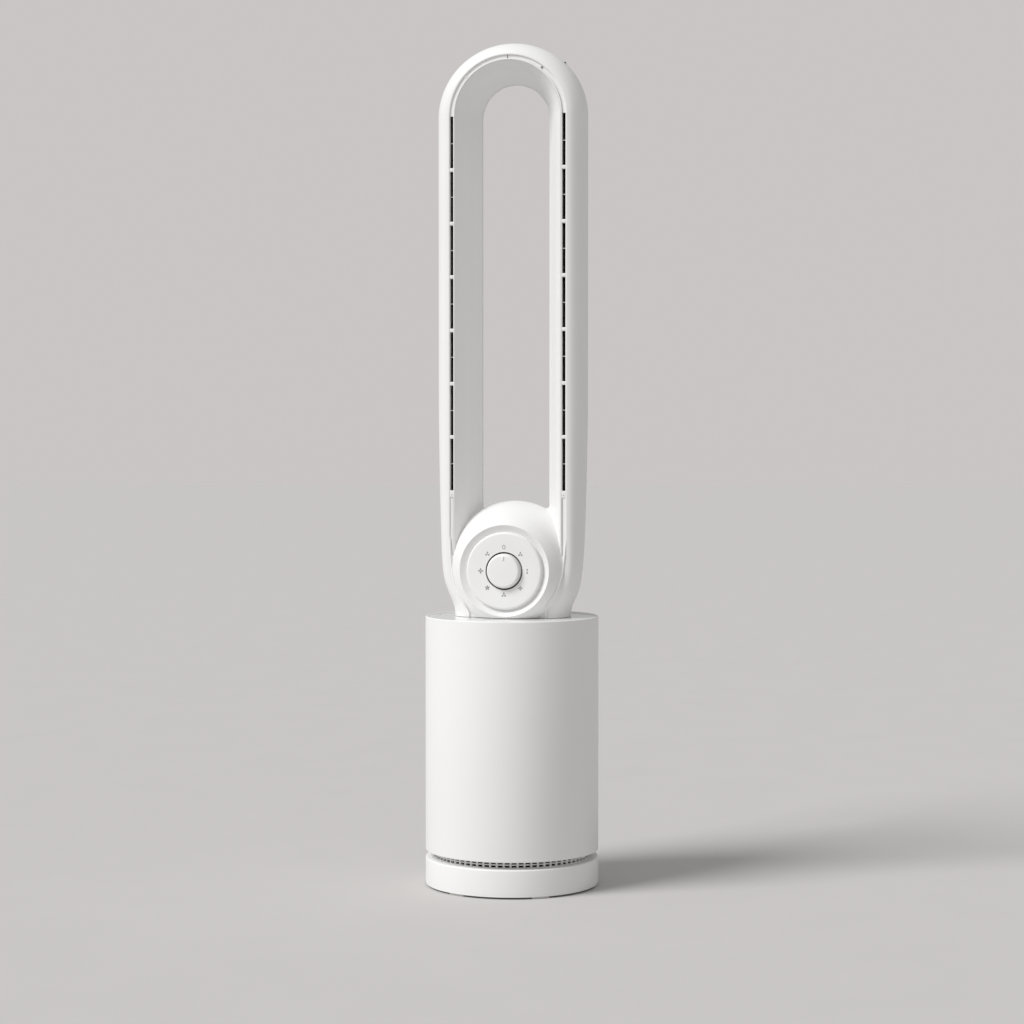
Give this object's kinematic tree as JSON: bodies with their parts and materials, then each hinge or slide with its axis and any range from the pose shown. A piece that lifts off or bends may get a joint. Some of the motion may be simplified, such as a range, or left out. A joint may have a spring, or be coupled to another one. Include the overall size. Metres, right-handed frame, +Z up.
{
  "type": "tower fan",
  "caption": "Bladeless tower fan with a round intake casing, a swivelling racetrack air loop with front slots, and a front dial knob.",
  "frame": {"origin": "centre of the base on the floor plane, under the casing's axis", "axes": "+Z up along the casing's axis, -Y the front with the dial, +X to the right seen from the front"},
  "size_m": [0.2, 0.2, 0.9726],
  "materials": {
    "white_shell": "satin white moulded shell",
    "gloss_plate": "polished white plate",
    "grille_plastic": "satin white moulded grille",
    "dial_plastic": "satin white moulded dial",
    "pointer_plastic": "bright white inlay",
    "mark_ink": "grey printed marks",
    "inner_plastic": "unpainted moulded plastic",
    "impeller_plastic": "glass-filled moulded plastic",
    "acetal": "natural acetal",
    "switch_plastic": "black moulded switch body",
    "circuit_board": "green lacquered board",
    "foam": "open-cell foam",
    "foot_rubber": "light grey rubber",
    "black_rubber": "black rubber",
    "black_cable": "black cable jacket",
    "ballast_iron": "rough cast",
    "screw_steel": "zinc plated",
    "bearing_steel": "ground steel",
    "motor_steel": "plated steel",
    "bracket_steel": "plated sheet steel",
    "lamination_steel": "stacked laminations",
    "winding_copper": "enamelled copper wire",
    "standoff_brass": "turned brass"
  },
  "bodies": {
    "base": {"foot_pads": "foot_rubber", "base_tray": "white_shell", "ballast_plate": "ballast_iron", "ballast_bolts": "screw_steel", "intake_grille": "grille_plastic", "base_screws": "screw_steel", "casing": "white_shell", "casing_foam": "foam", "cord_gland": "black_rubber", "power_board": "circuit_board", "board_standoffs": "standoff_brass", "wiring_loom": "black_cable", "inlet_bellmouth": "inner_plastic", "vibration_mounts": "black_rubber", "duct_housing": "inner_plastic", "diffuser": "inner_plastic", "motor_can": "motor_steel", "motor_stator": "lamination_steel", "motor_windings": "winding_copper", "lower_bearing": "bearing_steel", "upper_bearing": "bearing_steel", "control_board": "circuit_board", "outlet_cone": "inner_plastic", "duct_gasket": "foam", "top_plate": "gloss_plate", "plate_screws": "screw_steel", "swivel_collar": "acetal", "thrust_washer": "acetal", "osc_motor": "motor_steel", "osc_bracket": "bracket_steel"},
    "impeller": {"impeller": "impeller_plastic", "motor_shaft": "bearing_steel", "rotor_magnet": "lamination_steel", "impeller_nut": "screw_steel"},
    "osc_pinion": {"osc_pinion": "acetal"},
    "head": {"neck_yoke": "white_shell", "swivel_gear": "acetal", "retaining_ring": "bracket_steel", "loop_outer_shell": "white_shell", "loop_inner_shell": "white_shell", "loop_rear_shell": "white_shell", "slot_bridges": "white_shell", "slot_ribs": "white_shell", "groove_strip": "white_shell", "hub_rear_cover": "white_shell", "rear_screws": "screw_steel", "dial_bezel": "dial_plastic", "dial_face": "dial_plastic", "dial_marks": "mark_ink", "switch_bracket": "bracket_steel", "bracket_screws": "screw_steel", "switch_body": "switch_plastic", "switch_nut": "screw_steel", "switch_leads": "black_cable"},
    "knob": {"knob_cap": "dial_plastic", "knob_pointer": "pointer_plastic", "switch_shaft": "bearing_steel"}
  },
  "joints": [
    {"name": "head_swivel", "type": "hinge", "parent": "base", "child": "head", "pos_m": [0, 0, 0.311], "axis": [0, 0, 1], "range_deg": [-40, 40]},
    {"name": "dial_turn", "type": "hinge", "parent": "head", "child": "knob", "pos_m": [0, -0.04, 0.3645], "axis": [0, 1, 0], "range_deg": [0, 315]},
    {"name": "impeller_spin", "type": "hinge", "parent": "base", "child": "impeller", "pos_m": [0, 0, 0.16], "axis": [0, 0, 1], "continuous": true},
    {"name": "pinion_spin", "type": "hinge", "parent": "base", "child": "osc_pinion", "pos_m": [0, 0.0675, 0.287], "axis": [0, 0, 1], "range_deg": [-201, 201]}
  ],
  "couplings": [
    {"joint": "pinion_spin", "follows": "head_swivel", "ratio": -5}
  ]
}
